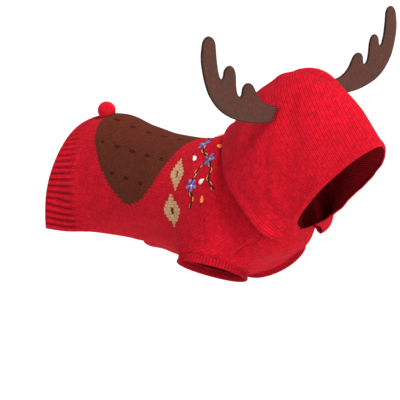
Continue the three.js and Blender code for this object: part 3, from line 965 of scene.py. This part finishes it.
# ---- Hood ----
HOOD_CREASES = {
    "right": [
        (9.0, -36, 9.5, -72, 2.8, 12, -4), (9.5, -66, 9.9, -108, 1.4, 14, 3),
        (8.5, -72, 7.9, -112, 1.4, 10, -4), (6.0, -52, 6.2, -100, -1.4, 14, 4),
        (7.6, -104, 9.2, -138, 1.6, 7, -5), (8.4, -100, 9.6, -124, -0.9, 6, -5),
        (4.6, -84, 5.6, -124, 1.4, 9, -5), (5.2, -30, 6.4, -54, 1.0, 9, 4),
        (7.4, -17, 8.3, -18, -1.6, 7, 0), (8.1, -8, 9.3, -5, 5.2, 4.5, 0),
        (7.5, -20, 7.9, -34, 1.6, 7, 0),
        (10.4, -20, 11.5, -34, 1.0, 8, 3), (11.2, -60, 11.8, -96, -0.8, 6, 0),
        (5.0, -134, 6.6, -152, 1.2, 7, 3),
    ],
    "left": [
        (8.9, 40, 9.4, 84, 2.4, 12, 4), (9.2, 30, 10.3, 24, 1.4, 8, -3),
        (7.5, 102, 9.1, 136, 1.6, 7, 5), (8.6, 98, 9.8, 122, -0.9, 6, 5),
        (6.2, 48, 6.8, 92, -1.3, 14, -4), (9.6, 70, 10.3, 106, 1.2, 12, -3),
        (4.8, 88, 6.1, 124, 1.4, 9, 5), (7.5, 8, 9.5, 12, -3.8, 6.5, 0),
        (10.9, 66, 11.6, 96, -0.8, 7, 0), (5.2, 136, 6.6, 150, 1.0, 7, -3),
    ],
}
FAN = np.array([104.0, 250.0])  # x and z that the hood's wales fan out from
HOOD_LENGTH, HOOD_DROP = 290, 205  # along the crown, and from it to the chin
hood_outers = {}
hood_places = with_lips(0, len(HOOD_RINGS) - 1, HOOD_LENGTH)[:, None]
for name, side in SIDES:
    angles = side * HOOD_END * with_lips(0, 1, HOOD_DROP)[::side]
    points = to_seam(hood_point(hood_places, angles), 0, angles)
    rear, front, first, last = from_edges(points)
    # The crown seam is drawn in, most at its fold. The face edge ripples and rolls in
    fold = smoothstep(hood_places, 7.9, 8.7) * (1 - smoothstep(hood_places, 9.0, 10.0))
    seam = tuck(first if side > 0 else last, 1.2 + 2.2 * fold, 6)
    ripple = unevenness(points, 22, 0.7, 8 + side) * (1 - smoothstep(front, 2, 14))
    roll = 0.8 * np.exp(-((front - 4.5) / 2.2)**2) + tuck(front, 1.4, 4)
    lift = smoothstep(rear, 0, 12) * (creases(hood_point, HOOD_CREASES[name], points) + ripple
                                      + unevenness(points, 75, 0.9, 4 + side) + seam + roll)
    away = points[..., [0, 2]] - FAN
    wales = np.stack([away[..., 0], 0 * rear, away[..., 1]], -1)
    numbers = lay_knit(points, wales, normals_of(points))
    hood, hood_outers[name] = shell(f"hood_{name}_cloth", points, KNIT, (KNIT_RED, INSIDE),
                                    numbers, lift)
    place_piece(hood, f"hood_{name}")


# ---- Embroidery ----
# Flowers and buds in satin stitch on stems, across both shoulders
THREAD_STEP = 1.2
SATIN_PITCH = 0.85
PETALS = 5
BACK_STEPS = [np.gradient(back_outer, axis=k) for k in (0, 1)]
NUMBER_STEPS = [[np.gradient(number, axis=k) for k in (0, 1)] for number in back_numbers]
threads = {name: Bundle() for name in THREADS}


def spot(wale, course):
    """The point of the back cloth at a wale and a course."""
    miss = (back_numbers[0] - wale)**2 + ((back_numbers[1] - course) * COURSE / WALE)**2
    k = np.unravel_index(miss.argmin(), miss.shape)
    slopes = [[step[k] for step in steps] for steps in NUMBER_STEPS]
    steps = np.linalg.solve(slopes, [wale - back_numbers[0][k], course - back_numbers[1][k]])
    return back_outer[k] + steps[0] * BACK_STEPS[0][k] + steps[1] * BACK_STEPS[1][k]


def lay_thread(colour, corners, radius=0.6, arch=0.0):
    """A thread on the back cloth through points, raised a little in its middle."""
    corners = np.array(corners)
    length = full_length(corners)
    even = np.linspace(0, length, max(4, round(length / THREAD_STEP)))
    path = at_lengths(corners, even)
    raised = radius * 0.7 + arch * np.sin(np.pi * even / length)
    for k, point in enumerate(path):
        near, normal, _ = nearest(back_tree, point)
        path[k] = near + normal * raised[k]
    threads[colour].add(*tube(path, radius))


def around(wale, course, way):
    """A point of the back cloth, and directions along and across a way in radians."""
    middle = spot(wale, course)
    ahead = unit(spot(wale, course + 1) - spot(wale, course - 1))
    normal = nearest(back_tree, middle)[1]
    beside = np.cross(normal, ahead)
    along = ahead * math.cos(way) + beside * math.sin(way)
    return middle, along, np.cross(normal, along)


def satin(middle, along, across, colour, long, wide):
    """A leaf of threads side by side. long and wide are its half sizes in mm."""
    count = round(2 * long / SATIN_PITCH)
    for k in range(count):
        share = -1 + 2 * (k + 0.5) / count
        half = wide * math.sqrt(1 - share * share) * (1 - 0.35 * share)
        centre = middle + along * share * long
        lay_thread(colour, [centre - across * half, centre + across * half], 0.52, 0.22 * half)


def flower(wale, course, colour, way):
    """Petals round a cream middle."""
    middle, along, across = around(wale, course, way)
    for turn in np.arange(PETALS) * 2 * math.pi / PETALS:
        petal = along * math.cos(turn) + across * math.sin(turn)
        side = across * math.cos(turn) - along * math.sin(turn)
        satin(middle + petal * 4.8, -petal, side, colour, 3.5, 2.3)
    satin(middle, along, across, "cream", 1.7, 1.6)


# By wale and course. The flowers' and buds' last number is their turn in radians
STEMS = [
    [(2.5, 36), (5, 39), (8.5, 42), (12, 45), (15.5, 50), (19.5, 52), (23.5, 51), (27, 53)],
    [(15.5, 50), (17, 46), (20, 43), (23, 41), (26.5, 41.5), (29.5, 40)],
]
FLOWERS = [(8.5, 42, 0.3), (16, 50.5, 1.1), (22.5, 41.5, 0.7)]
BUDS = [("orange", 3.4, 45.5, 0.6), ("cream", 14, 41, 2.2), ("orange", 28, 46.5, 1.2),
        ("orange", 11.5, 54, 2.6), ("cream", 22.5, 47.5, 0.2), ("cream", 3, 53, 1.9)]
for side in (1, -1):
    for stem in STEMS:
        path = smooth_outline(np.array(stem) * [side, 1.0], 5 * len(stem))
        path = np.array([spot(*pair) for pair in path])
        lay_thread("dark", path, 0.75)
        lay_thread("dark", path + [0.9, 0, 0.5], 0.6)
        sway = np.sin(np.arange(len(path)) * 1.1)[:, None] * [2.2, 0, 1.6]
        lay_thread("gold", (path + sway)[2:], 0.45, 0.3)
    for wale, course, way in FLOWERS:
        flower(side * wale, course, "lavender", way)
    for colour, wale, course, way in BUDS:
        middle, along, across = around(side * wale, course, way)
        satin(middle, along, across, colour, 4.2, 2.8)
        lay_thread("dark", [middle - along * 4.0, middle - along * 7.0 + across * 0.8], 0.6)

# ---- Antlers ----
FELT_POINTS = 320  # round the outline
FELT_STEP = 2.2  # fineness of the mesh inside it
FELT_RINGS = (0.12, 0.4, 0.8, 1.4)  # insets of points along the edge
FELT_FIELD = 2.4  # inset of the even field of points
FELT_ROUNDING = 1.3  # inset of the felt's full thickness
SEAT_END = 30.0  # how far out the felt may lie on the hood
SEAT_GAP = 0.1  # between the felt's middle and the hood
WHIP_PITCH = 2.0


def felt_plate(outline):
    """Vertices of a sheet inside an outline, triangles, and distances from its edge."""
    edge = np.roll(outline, -1, 0) - outline
    inward = unit(np.stack([-edge[:, 1], edge[:, 0]], -1))
    inward = (inward + np.roll(inward, 1, 0)) / 2
    count = len(outline)
    fine = np.concatenate([outline + edge * share for share in (0, 0.25, 0.5, 0.75)])

    def inset(points):
        return np.sqrt(((points[:, None] - fine[None])**2).sum(-1)).min(1)

    low, high = outline.min(0), outline.max(0)
    xs, ys = np.meshgrid(*(np.arange(low[k], high[k], FELT_STEP) for k in (0, 1)))
    field = np.stack([xs.ravel(), ys.ravel()], -1)
    field = field[inset(field) > FELT_FIELD]
    rings = [outline + inward * depth for depth in FELT_RINGS]
    edges = [(k, (k + 1) % count) for k in range(count)]
    everything = np.concatenate([outline, *rings, field])
    vertices, _, faces, *_ = delaunay_2d_cdt([Vector(p) for p in everything], edges, [], 1, 1e-4)
    vertices = np.array(vertices)
    away = inset(vertices)
    away[away < 0.02] = 0
    return vertices, faces, away


for name, side, ring, angle, droop in ANTLERS:
    vertices, faces, away = felt_plate(smooth_outline(ANTLER_OUTLINE, FELT_POINTS))
    half = FELT / 2 * np.sqrt(1 - (1 - np.clip(away / FELT_ROUNDING, 0, 1))**2)
    turn = math.radians(-droop)
    turned = vertices @ np.array([[math.cos(turn), math.sin(turn)],
                                  [-math.sin(turn), math.cos(turn)]])
    out, up = np.array([0.0, side, 0.0]), np.array([0.0, 0.0, 1.0])
    front = np.cross(out, up)
    seat = hood_point(ring, math.radians(side * angle))
    flat = seat + turned[:, :1] * out + turned[:, 1:] * up
    hood_tree = tree_of(hood_outers[name])
    for k in np.flatnonzero(turned[:, 0] < SEAT_END):  # felt moves out of the cloth
        for _ in range(8):
            near, normal, _ = nearest(hood_tree, flat[k])
            clear = (flat[k] - near) @ normal
            if clear >= SEAT_GAP:
                break
            flat[k] += out * (SEAT_GAP + 0.02 - clear) / max(normal @ out, 0.25)
    bend = 2.0 * smoothstep(turned[:, 0], 15, 105) + unevenness(flat, 55, 0.5, 11 + side)
    flat = flat + front * (bend * smoothstep(turned[:, 0], 0, 25))[:, None]
    thick = half + unevenness(flat, 8, 0.06, 17) * (half > 0)
    index = np.arange(len(flat))
    below = np.where(away == 0, index, index + len(flat))
    sides = [tuple(f) for f in faces] + [tuple(int(below[c]) for c in f[::-1]) for f in faces]
    uv = np.stack([away, 0 * away], -1)
    antler = new_object(f"antler_{name}_felt", np.concatenate([
        flat + front * thick[:, None], flat - front * thick[:, None]]), sides, FELT_FINISH,
        np.concatenate([uv, uv]))
    place_piece(antler, f"antler_{name}")
    # Whip stitches of red thread over the sewn end, on both faces
    for height in np.arange(-6.5, 6.6, WHIP_PITCH):
        hit = np.array(hood_tree.ray_cast(Vector(seat + height * up + out * 25), Vector(-out))[0])
        for lateral in (front, -front):
            foot, normal, _ = nearest(hood_tree, hit + lateral * (FELT / 2 + 2.2))
            path = [foot - normal * 0.6, foot + normal * 0.5]
            for beyond, over, rise in ((1.4, 0.6, 0.2), (3.2, 0.2, 0.4), (3.8, -0.5, 0.5)):
                path.append(hit + out * beyond + lateral * (FELT / 2 + over) + up * rise)
            threads["red"].add(*tube(path, 0.55))

for name, bundle in threads.items():
    place_piece(bundle.object(f"{name}_stitches", THREADS[name]))

# ---- Pompom ----
YARNS = 2200
YARN_COURSE = (0.72, 0.88, 0.97, 1.0)  # shares of the ball's radius
YARN_RADII = [0.6, 0.75, 0.7, 0.4]
YARN_CLEARANCE = 0.9  # from the cloth
rng = np.random.default_rng(7)
low, high = (np.array(corner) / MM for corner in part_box("pompom"))
radius = (high[0] - low[0]) / 2
middle = np.array([(low[0] + high[0]) / 2, (low[1] + high[1]) / 2, high[2] - radius - 0.5])
yarns = Bundle()
for k in range(YARNS):
    z = 1 - 2 * (k + 0.5) / YARNS
    turn = k * math.pi * (3 - 5**0.5)
    flat = math.sqrt(1 - z * z)
    way = np.array([flat * math.cos(turn), flat * math.sin(turn), z])
    way = unit(way + rng.normal(size=3) * 0.03)
    reach = radius * (1.0 - abs(rng.normal()) * 0.02)
    sway = rng.normal(size=3) * 0.3
    path = [middle + way * reach * share + sway * (share - 0.7) for share in YARN_COURSE]
    for j, point in enumerate(path):  # pressed flat where it lies on the cloth
        near, normal, _ = nearest(back_tree, point)
        above = (point - near) @ normal
        if above < YARN_CLEARANCE:
            path[j] = point + normal * (YARN_CLEARANCE - above)
    yarns.add(*tube(path, YARN_RADII, 4, 1))
place_piece(yarns.object("pompom_ball", POMPOM_YARN), "pompom")

# ---- Stage, light and camera ----
FLOOR_DROP = 1.5  # below the hoodie
FLOOR_SIZE = 120.0
AIM = Vector((0.1058, -0.0153, -0.0666))  # of the camera, in metres
EYE = Vector((1.0795, -0.8330, 0.2038))
SUNS = [("key", 3.9, 22, (0.60, -0.03, 0.80)),  # strength, width in degrees, direction
        ("fill", 1.5, 40, (0.96, -0.20, 0.15))]
SKY = {"From Min": 0.05, "From Max": 0.75, "To Min": 0.62, "To Max": 0.34}

bpy.ops.mesh.primitive_plane_add(size=FLOOR_SIZE, location=(0, 0, cad_box[0].z - FLOOR_DROP))
floor = bpy.context.object
floor.name = "floor"
paper = Finish("pale_floor", Roughness=0.95)
paper.colour(paper.shade((0.80, 0.80, 0.80), paper.noise(2.0, 1) * 0.02 + 0.99))
floor.data.materials.append(paper.material)

camera = link(bpy.data.objects.new("camera", bpy.data.cameras.new("camera")))
camera.data.lens = 97.5
camera.location = EYE
camera.rotation_euler = (AIM - EYE).to_track_quat("-Z", "Y").to_euler()
bpy.context.scene.camera = camera

for name, energy, width, toward in SUNS:
    sun = link(bpy.data.objects.new(name, bpy.data.lights.new(name, "SUN")))
    sun.data.energy = energy
    sun.data.angle = math.radians(width)
    sun.rotation_euler = Vector(toward).to_track_quat("Z", "Y").to_euler()

# A sky that is bright round the horizon and darker overhead
world = bpy.data.worlds.new("studio")
world.use_nodes = True
nodes = world.node_tree.nodes
place = nodes.new("ShaderNodeTexCoord")
split = nodes.new("ShaderNodeSeparateXYZ")
ramp = nodes.new("ShaderNodeMapRange")
for name, value in SKY.items():
    ramp.inputs[name].default_value = value
feed(split.inputs[0], place.outputs["Generated"])
feed(ramp.inputs["Value"], split.outputs["Z"])
feed(nodes["Background"].inputs["Strength"], ramp.outputs["Result"])
feed(nodes["Background"].inputs["Color"], (1, 1, 1, 1))
bpy.context.scene.world = world
bpy.context.scene.view_settings.view_transform = "Standard"
